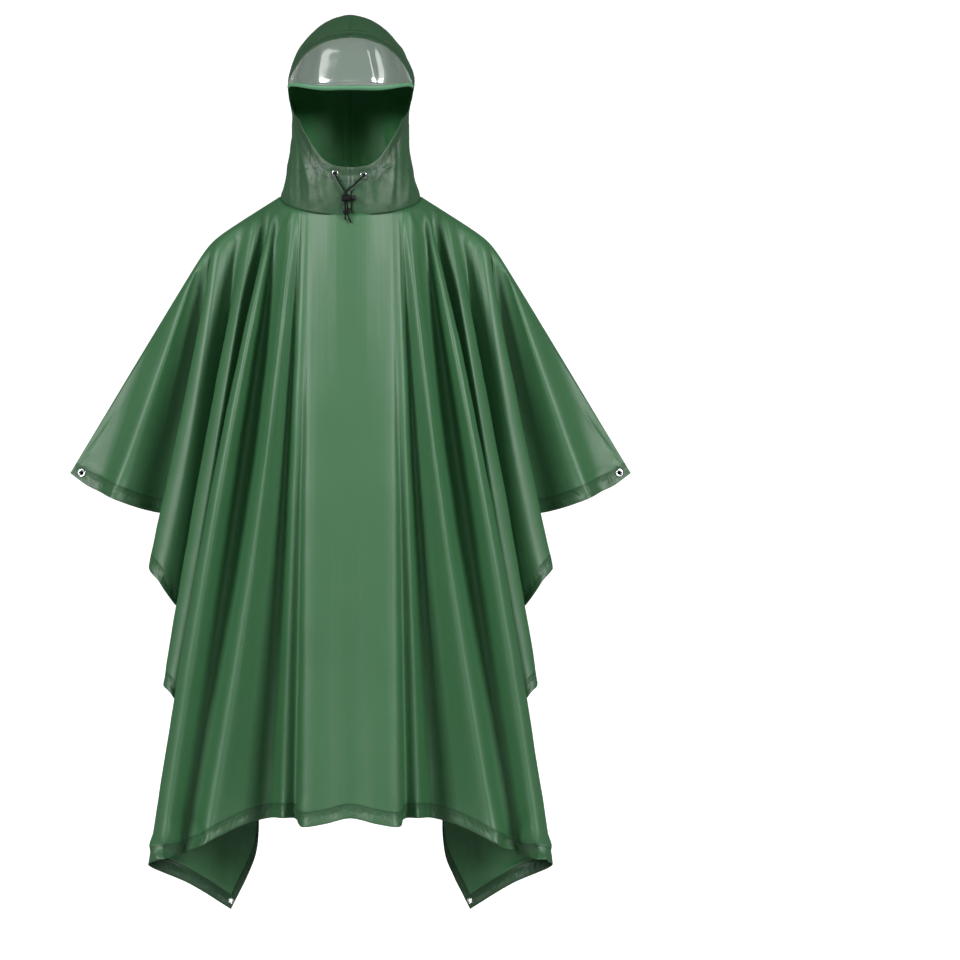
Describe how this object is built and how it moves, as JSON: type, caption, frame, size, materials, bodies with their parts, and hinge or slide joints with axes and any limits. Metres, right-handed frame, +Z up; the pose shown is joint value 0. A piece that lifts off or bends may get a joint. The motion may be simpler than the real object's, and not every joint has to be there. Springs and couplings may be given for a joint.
{
  "type": "rain poncho",
  "caption": "Hooded rain poncho in its worn, hollow form: wide sheet in side folds, clear hood visor, corner eyelets and a drawstring with a sprung cord lock.",
  "frame": {"origin": "between the shoulders, on the shoulder line's plane, at the height of the neck corners, where the wearer carries the garment", "axes": "+Z up, -Y to the front of the garment, +X to the right of someone who faces the front"},
  "size_m": [0.953, 0.4245, 1.5086],
  "materials": {
    "cloth": "coated polyester, soft satin sheen",
    "clear_film": "clear flexible film, glossy, slightly rippled",
    "eyelet": "nickel plated, polished",
    "cord": "black braided cord",
    "lock_plastic": "black moulded plastic, satin"
  },
  "bodies": {
    "garment": {"front": "cloth", "back": "cloth", "hood_left": "cloth", "hood_right": "cloth", "visor": "clear_film", "visor_binding": "cloth", "eyelet_front_left": "eyelet", "eyelet_front_right": "eyelet", "eyelet_front_sleeve_left": "eyelet", "eyelet_front_sleeve_right": "eyelet", "eyelet_back_left": "eyelet", "eyelet_back_right": "eyelet", "eyelet_hood_left": "eyelet", "eyelet_hood_right": "eyelet", "drawstring_left": "cord", "drawstring_right": "cord", "drawstring_left_low": "cord", "drawstring_right_low": "cord", "tail_left": "cord", "tail_right": "cord", "knot": "cord", "cord_lock": "lock_plastic"},
    "lock_button": {"plunger": "lock_plastic"}
  },
  "joints": [
    {"name": "plunger_press", "type": "slide", "parent": "garment", "child": "lock_button", "axis": [-1, 0, 0], "range_m": [0, 0.0035], "stiffness_N_per_m": 1000, "springref_m": -0.003}
  ]
}
